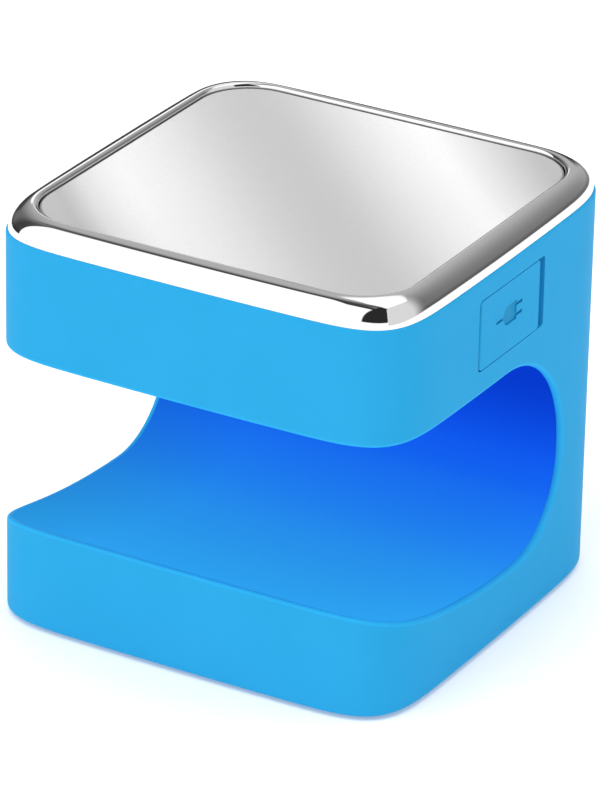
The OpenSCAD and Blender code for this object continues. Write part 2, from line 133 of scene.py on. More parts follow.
# how dark the liner's own colour is beside the colour that it glows in
LINER_SHADE = 0.25
SHELL_TONES = ((0.024, 0.371, 0.715), (0.027, 0.384, 0.74))
# the liner's painted shade: its colour deepens with y + 1.6 z, from the slot's mouth to the back of its
# ceiling
LINER_SLANT = (0.0, 1.0, 1.6)
LINER_SPAN = (-16 * MM, 70 * MM)
# share of that span, and the colour there
LINER_PAINTED_SHADE_STOPS = (
    (0.0, (0.026, 0.350, 0.81)),
    (1.0, (0.002, 0.042, 0.57)),
    (0.2, (0.026, 0.345, 0.82)),
    (0.42, (0.018, 0.258, 0.84)),
    (0.66, (0.009, 0.152, 0.84)),
    (0.80, (0.005, 0.097, 0.80)),
)
# the plate's painted reflection: its grey changes along its diagonal, from this far before the middle to this
# far behind it
SATIN_REACH = 36 * MM
# share of that way, and the grey there
SATIN_PAINTED_SHEEN_STOPS = (
    (0.03, 0.53),
    (1.0, 0.52),
    (0.07, 0.70),
    (0.12, 0.84),
    (0.19, 0.90),
    (0.35, 0.72),
    (0.50, 0.57),
    (0.62, 0.66),
    (0.78, 0.91),
    (0.86, 0.86),
)
# share of the way from the left of the studio to its right, and the grey of its walls there
WALL_STOPS = (
    (0.0, 0.15),
    (1.0, 0.16),
    (0.12, 0.20),
    (0.25, 0.47),
    (0.50, 0.39),
    (0.75, 0.22),
)


# ---- outlines ----

def resample(points, count):
    """Points of a closed outline, spread evenly along it, starting at the first one."""
    ends = points[1:] + points[:1]
    lengths = [(b - a).length for a, b in zip(points, ends)]
    step = sum(lengths) / count
    out, i, gone = [], 0, 0.0
    for k in range(count):
        target = k * step
        while i < len(points) - 1 and gone + lengths[i] < target:
            gone += lengths[i]
            i += 1
        share = (target - gone) / max(lengths[i], 1e-12)
        out.append(points[i].lerp(ends[i], share))
    return out


def crowned_corner():
    """A quarter of the shell's outline, from the middle of its +X side to the middle of its +Y side."""
    half_w, half_d = HALF_W - CROWN, HALF_D - CROWN
    steps = 60
    flat = [(half_w, (half_d - CORNER_REACH) * k / steps) for k in range(steps)]
    for k in range(2 * steps + 1):
        angle = math.pi / 2 * k / (2 * steps)
        flat.append((half_w - CORNER_REACH * (1 - math.cos(angle) ** (2 / CORNER_POWER)),
                     half_d - CORNER_REACH * (1 - math.sin(angle) ** (2 / CORNER_POWER))))
    flat += [((half_w - CORNER_REACH) * (1 - k / steps), half_d) for k in range(1, steps + 1)]
    return [
        (x + CROWN * (1 - (y / half_d) ** 2) * (x / half_w) ** 8,
         y + CROWN * (1 - (x / half_w) ** 2) * (y / half_d) ** 8)
        for x, y in flat
    ]


def shell_outline(inset, count=OUTLINE_POINTS):
    """Plan outline of the shell, moved inwards: crowned sides that run smoothly into the corners."""
    quarter = crowned_corner()
    points = [Vector(p) for p in quarter]
    points += [Vector((-x, y)) for x, y in reversed(quarter[:-1])]
    points += [Vector((-x, -y)) for x, y in quarter[1:]]
    points += [Vector((x, -y)) for x, y in reversed(quarter[1:-1])]
    points = resample(points, 8 * count)
    moved = []
    for k, p in enumerate(points):
        along = points[(k + 1) % len(points)] - points[k - 1]
        moved.append(p - inset * Vector((along.y, -along.x)).normalized())
    return resample(moved, count)


def rounded_rectangle(half_w, half_d, radius, count=OUTLINE_POINTS):
    """Rounded rectangle that starts in the middle of its +X side, as the shell's outline does."""
    points = [Vector((half_w, 0))]
    steps = 60
    for quarter, (sx, sy) in enumerate(((1, 1), (-1, 1), (-1, -1), (1, -1))):
        for k in range(steps + 1):
            angle = math.pi / 2 * (quarter + k / steps)
            points.append(Vector((
                sx * (half_w - radius) + radius * math.cos(angle),
                sy * (half_d - radius) + radius * math.sin(angle),
            )))
    return resample(points, count)


def arc(centre, radius, start, end, steps):
    """Points of an arc in a plane; the angles are in degrees."""
    return [
        (centre[0] + radius * math.cos(math.radians(start + (end - start) * k / steps)),
         centre[1] + radius * math.sin(math.radians(start + (end - start) * k / steps)))
        for k in range(steps + 1)
    ]


def slot_profile(grow, mouth=-REACH):
    """The slot from the side, as (y, z) points from the mouth's floor round the back to its ceiling."""
    top = (SLOT_BACK - SLOT_TOP_R, SLOT_CEILING - SLOT_TOP_R)
    low = (SLOT_BACK - SLOT_LOW_R, SLOT_FLOOR + SLOT_LOW_R)
    centre_z = SLOT_FLOOR + FLOOR_R
    radius = FLOOR_R + grow
    swing = math.degrees(math.asin((low[0] - mouth) / radius))
    points = arc((low[0], centre_z), radius, -90 - swing, -90, 24)
    points += arc(low, SLOT_LOW_R + grow, -90, 0, 24)[1:]
    points += arc(top, SLOT_TOP_R + grow, 0, 90, 30)
    points.append((mouth, SLOT_CEILING + grow))
    return points


# ---- mesh helpers ----

def make_object(name, verts, faces):
    mesh = bpy.data.meshes.new(name)
    mesh.from_pydata([tuple(v) for v in verts], [], faces)
    mesh.validate()
    obj = bpy.data.objects.new(name, mesh)
    bpy.context.scene.collection.objects.link(obj)
    return obj


def loft(rings, cap_start=True, cap_end=True):
    """Faces between rings of points with the same count, each ring closed."""
    count = len(rings[0])
    verts = [p for ring in rings for p in ring]
    faces = []
    for i in range(len(rings) - 1):
        for k in range(count):
            a, b = i * count + k, i * count + (k + 1) % count
            faces.append((a, b, b + count, a + count))
    if cap_start:
        faces.append(tuple(reversed(range(count))))
    if cap_end:
        faces.append(tuple(range((len(rings) - 1) * count, len(rings) * count)))
    return verts, faces


def upright(outline, z):
    return [(p[0], p[1], z) for p in outline]


def prism(name, outline, z0, z1):
    return make_object(name, *loft([upright(outline, z0), upright(outline, z1)]))


def bar(name, profile, x0, x1):
    """A profile in the YZ plane, standing from x0 to x1."""
    rings = [[(x, y, z) for y, z in profile] for x in (x0, x1)]
    return make_object(name, *loft(rings))


def block(name, lo, hi):
    corners = [(lo[0], lo[1]), (hi[0], lo[1]), (hi[0], hi[1]), (lo[0], hi[1])]
    return prism(name, corners, lo[2], hi[2])


def rod(name, x, y, radius, z0, z1, sides=48):
    ring = [(x + radius * math.cos(2 * math.pi * k / sides), y + radius * math.sin(2 * math.pi * k / sides))
            for k in range(sides)]
    return prism(name, ring, z0, z1)


def weld(obj):
    """Merges points that lie in the same place."""
    bm = bmesh.new()
    bm.from_mesh(obj.data)
    bmesh.ops.remove_doubles(bm, verts=bm.verts, dist=0.0001 * MM)
    bm.to_mesh(obj.data)
    bm.free()


def outward(obj):
    """Makes every face look outwards."""
    bm = bmesh.new()
    bm.from_mesh(obj.data)
    bmesh.ops.recalc_face_normals(bm, faces=bm.faces)
    bm.to_mesh(obj.data)
    bm.free()


def bake_modifiers(obj):
    depsgraph = bpy.context.evaluated_depsgraph_get()
    mesh = bpy.data.meshes.new_from_object(obj.evaluated_get(depsgraph))
    obj.modifiers.clear()
    obj.data = mesh


def combine(target, tool, operation):
    """Exact boolean of target with tool; the tool is used up."""
    outward(target)
    outward(tool)
    modifier = target.modifiers.new("combine", "BOOLEAN")
    modifier.solver = "EXACT"
    modifier.operation = operation
    modifier.object = tool
    bpy.context.view_layer.update()
    bake_modifiers(target)
    bpy.data.objects.remove(tool)


def cut(target, *tools):
    for tool in tools:
        combine(target, tool, "DIFFERENCE")


def fuse(target, *tools):
    for tool in tools:
        combine(target, tool, "UNION")


def sharp_edges(bm, angle):
    return [e for e in bm.edges if len(e.link_faces) == 2 and e.calc_face_angle() > math.radians(angle)]


def round_edges(obj, width, segments, material, angle=CORNER_ANGLE):
    """Rounds the edges sharper than an angle; the new faces take the material of that index.
    Points too close together along those edges are merged first, so that the rounding runs evenly."""
    bm = bmesh.new()
    bm.from_mesh(obj.data)
    along = {v for e in sharp_edges(bm, angle) for v in e.verts}
    bmesh.ops.remove_doubles(bm, verts=list(along), dist=width / 2)
    bmesh.ops.bevel(bm, geom=sharp_edges(bm, angle), offset=width, offset_type="OFFSET", segments=segments,
                    profile=0.5, affect="EDGES", clamp_overlap=False, material=material)
    bm.to_mesh(obj.data)
    bm.free()


def smooth(obj, angle=SMOOTH_ANGLE):
    """Smooth shading with sharp edges kept, weighted by face area so that flat faces stay flat."""
    obj.data.shade_smooth()
    obj.data.set_sharp_from_angle(angle=math.radians(angle))
    modifier = obj.modifiers.new("normals", "WEIGHTED_NORMAL")
    modifier.keep_sharp = True
    modifier.weight = 60
    return obj


def place(obj, body, material, replaces=()):
    if not obj.data.materials:
        obj.data.materials.append(material)
    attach(obj, body)
    if replaces:
        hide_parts(*replaces)
    return obj


# ---- materials ----

def new_material(name):
    material = bpy.data.materials.new(name)
    material.use_nodes = True
    nodes, links = material.node_tree.nodes, material.node_tree.links
    nodes.clear()
    shader = nodes.new("ShaderNodeBsdfPrincipled")
    output = nodes.new("ShaderNodeOutputMaterial")
    links.new(shader.outputs["BSDF"], output.inputs["Surface"])
    return material, nodes, links, shader


def object_noise(nodes, links, scale, detail=3.0):
    """Noise fixed to the object, with features about 1 / scale metres across."""
    where = nodes.new("ShaderNodeTexCoord")
    noise = nodes.new("ShaderNodeTexNoise")
    noise.inputs["Scale"].default_value = scale
    noise.inputs["Detail"].default_value = detail
    links.new(where.outputs["Object"], noise.inputs["Vector"])
    return noise.outputs["Fac"]


def dot_product(nodes, links, vector, weights):
    node = nodes.new("ShaderNodeVectorMath")
    node.operation = "DOT_PRODUCT"
    node.inputs[1].default_value = weights
    links.new(vector, node.inputs[0])
    return node.outputs["Value"]


def ranged(nodes, links, value, low, high, start=0.0, end=1.0, interpolation="LINEAR"):
    """A value that runs from low to high, turned into one that runs from start to end and stays there."""
    remap = nodes.new("ShaderNodeMapRange")
    remap.interpolation_type = interpolation
    remap.inputs["From Min"].default_value = low
    remap.inputs["From Max"].default_value = high
    remap.inputs["To Min"].default_value = start
    remap.inputs["To Max"].default_value = end
    links.new(value, remap.inputs["Value"])
    return remap.outputs["Result"]


def spread(nodes, links, value, low, high):
    """A noise value's middle part, spread from low to high."""
    return ranged(nodes, links, value, 0.3, 0.7, low, high)


def two_tone(nodes, links, value, first, second):
    mix = nodes.new("ShaderNodeMix")
    mix.data_type = "RGBA"
    mix.inputs["A"].default_value = (*first, 1)
    mix.inputs["B"].default_value = (*second, 1)
    links.new(value, mix.inputs["Factor"])
    return mix.outputs["Result"]


def add_bump(nodes, links, shader, value, distance):
    bump = nodes.new("ShaderNodeBump")
    bump.inputs["Distance"].default_value = distance
    links.new(value, bump.inputs["Height"])
    links.new(bump.outputs["Normal"], shader.inputs["Normal"])


def plain_material(name, first, second, roughness, metallic=0.0, grain=900.0, bump=0.004, spots=90.0,
                   ior=1.45):
    """A moulded, painted or metal surface: its colour drifts between two tones, under a fine grain.
    grain and spots are how many features there are per metre, and bump is the grain's depth in mm."""
    material, nodes, links, shader = new_material(name)
    drift = spread(nodes, links, object_noise(nodes, links, spots), 0.0, 1.0)
    links.new(two_tone(nodes, links, drift, first, second), shader.inputs["Base Color"])
    fine = object_noise(nodes, links, grain, 4.0)
    links.new(spread(nodes, links, fine, roughness[0], roughness[1]), shader.inputs["Roughness"])
    shader.inputs["Metallic"].default_value = metallic
    shader.inputs["IOR"].default_value = ior
    add_bump(nodes, links, shader, fine, bump * MM)
    return material, nodes, links, shader


def surface(*values, **more):
    """A plain material on its own, without its nodes."""
    return plain_material(*values, **more)[0]


def weighted_place(nodes, links, weights):
    """The object's own X, Y and Z, each times its weight, added up."""
    where = nodes.new("ShaderNodeTexCoord")
    return dot_product(nodes, links, where.outputs["Object"], weights)


def scaled(nodes, links, colour, factor):
    """A colour times a factor, which is a number or another node's output."""
    node = nodes.new("ShaderNodeVectorMath")
    node.operation = "SCALE"
    links.new(colour, node.inputs[0])
    if isinstance(factor, float):
        node.inputs["Scale"].default_value = factor
    else:
        links.new(factor, node.inputs["Scale"])
    return node.outputs["Vector"]


def greys(stops):
    return [(at, (tone, tone, tone)) for at, tone in stops]


def colour_ramp(nodes, links, value, low, high, stops):
    """Colours along a value that runs from low to high. The stops are (share, colour): the two ends first,
    and then the ones between them."""
    ramp = nodes.new("ShaderNodeValToRGB")
    ramp.color_ramp.interpolation = "CARDINAL"
    for k, (at, colour) in enumerate(stops):
        stop = ramp.color_ramp.elements[k] if k < 2 else ramp.color_ramp.elements.new(at)
        stop.position = at
        stop.color = (*colour, 1)
    links.new(ranged(nodes, links, value, low, high), ramp.inputs["Fac"])
    return ramp.outputs["Color"]


def shell_plastic(name):
    """Light blue moulding."""
    return plain_material(name, *SHELL_TONES, (0.42, 0.52), grain=1600.0, bump=0.0025, ior=MATT_IOR)


def edge_highlight_material():
    """The shell's plastic on the rounded rim of the slot, with a faint glow that is a painted highlight along
    the edge.
    """
    material, _, links, shader = shell_plastic("edge_blue_painted_highlight")
    links.new(shader.inputs["Base Color"].links[0].from_socket, shader.inputs["Emission Color"])
    shader.inputs["Emission Strength"].default_value = EDGE_HIGHLIGHT_GLOW
    return material


def door_material():
    """The shell's plastic, with painted shade that makes its engraved sign a little darker."""
    material, nodes, links, shader = shell_plastic("door_blue")
    colour = shader.inputs["Base Color"].links[0].from_socket
    # painted shade: darker inside the engraved sign's recess
    depth = ranged(nodes, links, weighted_place(nodes, links, (1, 0, 0)),
                   DOOR_HI.x - 0.2 * MM, DOOR_HI.x - 0.1 * MM, 0.78, 1.0)
    links.new(scaled(nodes, links, colour, depth), shader.inputs["Base Color"])
    return material


def liner_material():
    """Deep blue plastic with painted light: it glows though it is no lamp, pale at the mouth and deeper
    towards the back with painted shade, and dimmer near its -X end with painted shade.
    """
    material, nodes, links, shader = new_material("liner_blue_painted_glow")
    # painted light and shade: the glow deepens from the mouth towards the back
    glow = colour_ramp(nodes, links, weighted_place(nodes, links, LINER_SLANT), *LINER_SPAN, LINER_PAINTED_SHADE_STOPS)
    # painted shade: the glow dims towards the -X end
    across = weighted_place(nodes, links, (1, 0, 0))
    glow = scaled(nodes, links, glow, ranged(nodes, links, across, -HALF_W, -HALF_W / 2, 0.8, 1.0))
    links.new(scaled(nodes, links, glow, LINER_SHADE), shader.inputs["Base Color"])
    links.new(glow, shader.inputs["Emission Color"])
    shader.inputs["Emission Strength"].default_value = LINER_PAINTED_GLOW
    shader.inputs["Specular IOR Level"].default_value = 0.0
    fine = object_noise(nodes, links, 700, 3.0)
    links.new(spread(nodes, links, fine, 0.36, 0.46), shader.inputs["Roughness"])
    add_bump(nodes, links, shader, fine, 0.002 * MM)
    return material


def chrome_material():
    return surface("chrome", (0.87, 0.87, 0.87), (0.89, 0.89, 0.90), (0.02, 0.05), metallic=1.0,
                   grain=260.0, bump=0.0004, spots=40.0)


def satin_material():
    """Blasted metal whose two bright bands across its diagonal, and the softer grey one between them, are
    painted reflection.
    """
    material, nodes, links, shader = new_material("satin_metal")
    across = weighted_place(nodes, links, (math.sqrt(0.5), math.sqrt(0.5), 0))
    # painted reflection: the grey along the diagonal stands in for the metal's bright bands
    tone = colour_ramp(nodes, links, across, -SATIN_REACH, SATIN_REACH, greys(SATIN_PAINTED_SHEEN_STOPS))
    fine = object_noise(nodes, links, 2600.0, 4.0)
    grain = spread(nodes, links, fine, 0.97, 1.03)
    links.new(scaled(nodes, links, tone, grain), shader.inputs["Base Color"])
    links.new(spread(nodes, links, fine, 0.30, 0.40), shader.inputs["Roughness"])
    shader.inputs["Metallic"].default_value = 0.25
    shader.inputs["Specular IOR Level"].default_value = 0.2
    add_bump(nodes, links, shader, fine, 0.002 * MM)
    return material


def glass_material():
    material, _, _, shader = plain_material(
        "clear_window", (0.80, 0.88, 0.98), (0.84, 0.91, 1.0), (0.06, 0.12), grain=300.0, bump=0.001)
    shader.inputs["Transmission Weight"].default_value = 0.85
    shader.inputs["IOR"].default_value = 1.49
    return material


SHELL_BLUE = shell_plastic("shell_blue")[0]
EDGE_HIGHLIGHT_BLUE = edge_highlight_material()
DOOR_BLUE = door_material()
LINER_PAINTED_GLOW_BLUE = liner_material()
CHROME = chrome_material()
SATIN_PAINTED_SHEEN = satin_material()
# painted shade for the plate's edge beside the ring
SATIN_EDGE_PAINTED_SHADE = surface("satin_edge", (0.22, 0.22, 0.22), (0.26, 0.26, 0.26), (0.4, 0.5))
WINDOW = glass_material()
STEEL = surface("bright_steel", (0.55, 0.55, 0.56), (0.62, 0.62, 0.63), (0.22, 0.36), metallic=1.0)
WHITE_PLASTIC = surface("white_plastic", (0.78, 0.78, 0.75), (0.84, 0.84, 0.81), (0.4, 0.55))
BLACK_PLASTIC = surface("black_plastic", (0.02, 0.02, 0.022), (0.035, 0.035, 0.037), (0.35, 0.5))
BLACK_RUBBER = surface("black_rubber", (0.015, 0.015, 0.016), (0.028, 0.028, 0.03), (0.7, 0.85))
BLUE_RUBBER = surface("blue_rubber", (0.02, 0.16, 0.45), (0.03, 0.2, 0.52), (0.6, 0.75))
BOARD_GREEN = surface("board_green", (0.01, 0.12, 0.05), (0.02, 0.18, 0.08), (0.25, 0.35), spots=400.0)
BOARD_WHITE = surface("board_white", (0.78, 0.79, 0.77), (0.84, 0.85, 0.83), (0.3, 0.4), spots=400.0)
LAMP_YELLOW = surface("lamp_yellow", (0.80, 0.62, 0.08), (0.86, 0.70, 0.12), (0.3, 0.45))
CHIP_BLACK = surface("chip_black", (0.03, 0.03, 0.033), (0.05, 0.05, 0.055), (0.45, 0.6))
FOIL = surface("cell_foil", (0.55, 0.56, 0.58), (0.66, 0.67, 0.69), (0.3, 0.45), metallic=0.85, spots=200.0)
LEAD_RED = surface("lead_red", (0.45, 0.02, 0.02), (0.55, 0.04, 0.03), (0.4, 0.5))


# ---- the shell ----

def shell_body():
    """The outer form of the shell with its slot, edges rounded."""
    z0, z1 = SHELL_LO.z, SHELL_HI.z
    steps = 6
    rings = []
    for k in range(steps + 1):
        a = math.pi / 2 * k / steps
        rings.append((BASE_FILLET * (1 - math.sin(a)), z0 + BASE_FILLET * (1 - math.cos(a))))
    for k in range(steps + 1):
        a = math.pi / 2 * k / steps
        rings.append((RIM_FILLET * (1 - math.cos(a)), z1 - RIM_FILLET * (1 - math.sin(a))))
    body = make_object("housing_shell", *loft([upright(shell_outline(i), z) for i, z in rings]))
    body.data.materials.append(SHELL_BLUE)
    body.data.materials.append(EDGE_HIGHLIGHT_BLUE)
    cut(body, bar("slot_tool", slot_profile(0), -REACH, REACH))
    # the rounded slot edges take the second material, whose glow is a painted highlight
    round_edges(body, SLOT_FILLET, 5, material=1)
    return body


def port_outline(y0, y1, z0, z1, hinge_r, free_r):
    """The port's opening from the side; its hinge corners are rounder."""
    points = arc((y0 + hinge_r, z0 + hinge_r), hinge_r, 180, 270, 8)
    points += arc((y1 - free_r, z0 + free_r), free_r, 270, 360, 6)
    points += arc((y1 - free_r, z1 - free_r), free_r, 0, 90, 6)
    points += arc((y0 + hinge_r, z1 - hinge_r), hinge_r, 90, 180, 8)
    return points


def cut_port(body):
    """Opens the wall for the door, makes room for the port's box and bores the pin's hole from above."""
    pin_lo, pin_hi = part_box("door_pin")
    box_lo, box_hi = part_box("port_box")
    outline = port_outline(DOOR_LO.y - PORT_GAP, DOOR_HI.y + NAIL_GAP, DOOR_LO.z - PORT_SEAM,
                           DOOR_HI.z + PORT_SEAM, PORT_HINGE_R, PORT_FREE_R)
    bore = rod("pin_tool", (pin_lo.x + pin_hi.x) / 2, (pin_lo.y + pin_hi.y) / 2,
               (pin_hi.x - pin_lo.x) / 2 + 0.02 * MM, pin_lo.z - LAP, SHELL_HI.z + MM, sides=24)
    cut(body,
        block("ledge_tool", (box_lo.x - PORT_GAP, box_lo.y - PORT_GAP, box_lo.z - PORT_GAP),
              (HALF_W - WALL - SEAT_GAP, box_hi.y + PORT_GAP, box_hi.z + PORT_GAP)),
        bar("opening_tool", outline, HALF_W - 2 * WALL, HALF_W + MM), bore)


def inner_ring(name, inset, width, z0, z1):
    ring = prism(name, shell_outline(inset), z0, z1)
    cut(ring, prism("ring_tool", shell_outline(inset + width), z0 - MM, z1 + MM))
    return ring


def add_boss(body, x, y, z0, z1, hole_z0, hole_z1):
    """A screw boss in a corner of the shell, with a pilot hole from one end."""
    boss = rod("boss", x, y, BOSS_R, z0, z1)
    combine(boss, prism("boss_limit", shell_outline(WALL - LAP), z0 - MM, z1 + MM), "INTERSECT")
    cut(boss, rod("pilot_tool", x, y, PILOT_R, hole_z0, hole_z1, sides=24))
    fuse(body, boss)


def build_shell():
    """The hollow shell with the liner's seat, two ledges, eight bosses and the port."""
    body = shell_body()
    cut(body, prism("hollow_tool", shell_outline(WALL), SHELL_LO.z - MM, SHELL_HI.z + MM))
    seat = bar("seat_tool", slot_profile(LINER_T + SEAT_GAP), -REACH, REACH)
    combine(seat, prism("seat_limit", shell_outline(LIP), SHELL_LO.z + MM, SHELL_HI.z - MM), "INTERSECT")
    cut(body, seat)
    fuse(body,
         inner_ring("top_ledge", WALL - LAP, LEDGE_W, TOP_LEDGE - LEDGE_T, TOP_LEDGE),
         inner_ring("low_ledge", WALL - LAP, LEDGE_W, LOW_LEDGE, LOW_LEDGE + LEDGE_T))
    for x in (-BOSS_X, BOSS_X):
        for y in (-BOSS_Y, BOSS_Y):
            add_boss(body, x, y, TOP_BOSS_Z, TOP_LEDGE, TOP_PILOT_Z, TOP_LEDGE + MM)
            add_boss(body, x, y, LOW_LEDGE, LOW_LEDGE + LOW_BOSS_H, LOW_LEDGE - MM, LOW_PILOT_Z)
    cut_port(body)
    smooth(body)
    return place(body, "base", SHELL_BLUE, ["housing"])


def build_liner():
    """The channel: the slot's outline made solid, clipped just inside the shell's faces, with four posts."""
    profile = slot_profile(0) + list(reversed(slot_profile(LINER_T)))
    liner = bar("slot_channel", profile, -REACH, REACH)
    limit = prism("liner_limit", shell_outline(LIP - 0.02 * MM), SHELL_LO.z + MM, SHELL_HI.z - MM)
    combine(liner, limit, "INTERSECT")
    window_lo, window_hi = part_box("lamp_window")
    flange = 2.0 * MM
    cut(liner, block("window_tool", (window_lo.x + flange, window_lo.y + flange, SLOT_CEILING - MM),
                     (window_hi.x - flange, window_hi.y - flange, SLOT_CEILING + LINER_T + MM)))
    posts_lo, posts_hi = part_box("light_board_screws")
    for x in (posts_lo.x + SCREW_HEAD_R, posts_hi.x - SCREW_HEAD_R):
        for y in (posts_lo.y + SCREW_HEAD_R, posts_hi.y - SCREW_HEAD_R):
            fuse(liner, rod("post", x, y, POST_R, SLOT_CEILING + LINER_T / 2, TOP_BOSS_Z))
            cut(liner, rod("post_tool", x, y, POST_HOLE_R, SLOT_CEILING + LINER_T + LAP, TOP_BOSS_Z + MM,
                           sides=24))
    smooth(liner)
    return place(liner, "base", LINER_PAINTED_GLOW_BLUE, ["channel_liner"])


# ---- bezel and top plate ----

def bezel_profile(width):
    """The ring's section as (share of its width, z): a round shoulder outside, a small roll inside."""
    z0, z1 = SHELL_HI.z, BEZEL_HI.z
    roll = BEZEL_ROLL / width
    shoulder_steps, roll_steps = 20, 8
    profile = [(WALL / width, z0)]
    for k in range(shoulder_steps + 1):
        a = math.pi / 2 * k / shoulder_steps
        profile.append(((1 - math.cos(a)) * (1 - roll), z0 + (z1 - z0) * math.sin(a)))
    for k in range(1, roll_steps + 1):
        a = math.pi / 2 * k / roll_steps
        profile.append((1 - roll * (1 - math.sin(a)), z1 - BEZEL_ROLL * (1 - math.cos(a))))
    profile.append((1.0, z0))
    return profile


def build_bezel():
    """Chromed ring between the shell's outline and the plate's opening, with a skirt under it."""
    outer = shell_outline(BEZEL_STEP)
    inner = rounded_rectangle(*PLATE_HOLE)
    rings = []
    for share, z in bezel_profile(HALF_W - BEZEL_STEP - PLATE_HOLE[0]):
        rings.append([(*a.lerp(b, share), z) for a, b in zip(outer, inner)])
    verts, faces = loft(rings + rings[:1], cap_start=False, cap_end=False)
    ring = make_object("bezel_ring", verts, faces)
    weld(ring)
    outward(ring)
    fuse(ring, inner_ring("skirt", SKIRT_INSET, SKIRT_W, DECK_HI.z + LAP, SHELL_HI.z + 2 * LAP))
    smooth(ring)
    return place(ring, "base", CHROME, ["bezel"])


def build_top_plate():
    """Satin dish: a soft hollow inside a darker rounded edge, whose dark is painted shade between the plate
    and the ring.
    """
    half_w, half_d, radius = (v - PLATE_GAP for v in PLATE_HOLE)
    z0, z1 = PLATE_LO.z, PLATE_HI.z
    rim = rounded_rectangle(half_w, half_d, radius)
    rings = [upright([p * PLATE_FOOT for p in rim], z0), upright(rim, z0 + PLATE_EDGE)]
    edge_steps = 5
    for k in range(edge_steps + 1):
        a = math.pi / 2 * k / edge_steps
        share = 1 - PLATE_EDGE * (1 - math.cos(a)) / half_w
        rings.append(upright([p * share for p in rim], z1 - PLATE_EDGE * (1 - math.sin(a))))
    edge_rings = len(rings) - 1
    start = 1 - PLATE_EDGE / half_w
    dish_steps = 40
    for k in range(1, dish_steps):
        across = 1 - k / dish_steps
        rounder = radius + (half_d - radius) * (1 - across) ** 1.5
        soft = [p * start * across for p in rounded_rectangle(half_w, half_d, rounder)]
        rings.append(upright(soft, z1 - DISH * (1 - across ** 2)))
    plate = make_object("top_dish", *loft(rings))
    plate.data.materials.append(SATIN_PAINTED_SHEEN)
    plate.data.materials.append(SATIN_EDGE_PAINTED_SHADE)
    # the rounded edge takes the darker material: painted shade between the plate and the ring
    for face in plate.data.polygons[len(rim):edge_rings * len(rim)]:
        face.material_index = 1
    outward(plate)
    smooth(plate)
    return place(plate, "top_button", SATIN_PAINTED_SHEEN, ["top_plate"])


# ---- springs and leads ----

def tube_along(name, points, radius, sides):
    """A round tube along a line of points, closed at both ends."""
    rings = []
    for i, p in enumerate(points):
        ahead = points[min(i + 1, len(points) - 1)] - points[max(i - 1, 0)]
        ahead.normalize()
        side = ahead.cross(Vector((0, 0, 1)))
        if side.length < 0.05:
            side = ahead.cross(Vector((1, 0, 0)))
        side.normalize()
        up = side.cross(ahead)
        angles = [2 * math.pi * k / sides for k in range(sides)]
        rings.append([p + radius * (math.cos(a) * side + math.sin(a) * up) for a in angles])
    return make_object(name, *loft(rings))


def coil(x, y, z0, z1):
    """One coil spring that stands on z0 and reaches up to z1."""
    coil_r = SPRING_R - SPRING_WIRE_R
    turns, steps = 6, 28
    points = []
    for k in range(turns * steps + 1):
        a = 2 * math.pi * k / steps
        rise = k / (turns * steps)
        points.append(Vector((x + coil_r * math.cos(a), y + coil_r * math.sin(a),
                              z0 + SPRING_WIRE_R + (z1 - z0 - 2 * SPRING_WIRE_R) * rise)))
    return tube_along("spring", points, SPRING_WIRE_R, 8)


def build_springs():
    """Four return springs."""
    lo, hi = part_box("return_springs")
    parts = []
    for x in (lo.x + SPRING_R, hi.x - SPRING_R):
        for y in (lo.y + SPRING_R, hi.y - SPRING_R):
            parts.append(coil(x, y, lo.z, hi.z))
    springs = join(parts, "coil_springs", "base", STEEL, ["return_springs"])
    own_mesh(springs)
    return springs


def join(parts, name, body, material, replaces):
    """Several meshes as one piece."""
    bm = bmesh.new()
    for part in parts:
        bm.from_mesh(part.data)
        bpy.data.objects.remove(part)
    mesh = bpy.data.meshes.new(name)
    bm.to_mesh(mesh)
    bm.free()
    piece = bpy.data.objects.new(name, mesh)
    bpy.context.scene.collection.objects.link(piece)
    outward(piece)
    smooth(piece)
    return place(piece, body, material, replaces)


def smooth_line(points, steps):
    """A curve through all the points, with so many steps from each one to the next."""
    line = []
    for i in range(len(points) - 1):
        a, b, c = points[max(i - 1, 0)], points[i], points[i + 1]
        d = points[min(i + 2, len(points) - 1)]
        for k in range(steps):
            t = k / steps
            line.append(0.5 * (2 * b + (c - a) * t + (2 * a - 5 * b + 4 * c - d) * t * t
                               + (3 * b - a - 3 * c + d) * t * t * t))
    line.append(points[-1])
    return line


def build_leads():
    """The cell's two leads, along the same route as in the design, which is given in mm above the base."""
    route = [(-8, 28, 47.3), (-8, 27.8, 49.5), (-8, 26, 51.5), (-8, 23, 52.3), (-8, 20, 52.2), (-8, 17.6, 52)]
    line = smooth_line([Vector(p) * MM + Vector((0, 0, BASE_Z)) for p in route], 8)
    pitch = Vector((-2.4 * MM, 0, 0))
    lead_r = 0.58 * MM
    parts = [tube_along("lead", [p + k * pitch for p in line], lead_r, 12) for k in (0, 1)]
    return join(parts, "cell_leads", "base", LEAD_RED, ["battery_leads"])


# ---- nodes that keep their CAD shape ----

def dress(node, material, width):
    """A CAD node keeps its shape and gets its material and small rounded edges, width in mm."""
    obj = NODES[node]
    obj.data.materials.clear()
    obj.data.materials.append(material)
    merge = obj.modifiers.new("merge", "WELD")
    merge.merge_threshold = 0.002 * MM
    rounding = obj.modifiers.new("edges", "BEVEL")
    rounding.width = width * MM
    rounding.segments = 2
    rounding.limit_method = "ANGLE"
    rounding.angle_limit = math.radians(CORNER_ANGLE)
    rounding.harden_normals = True


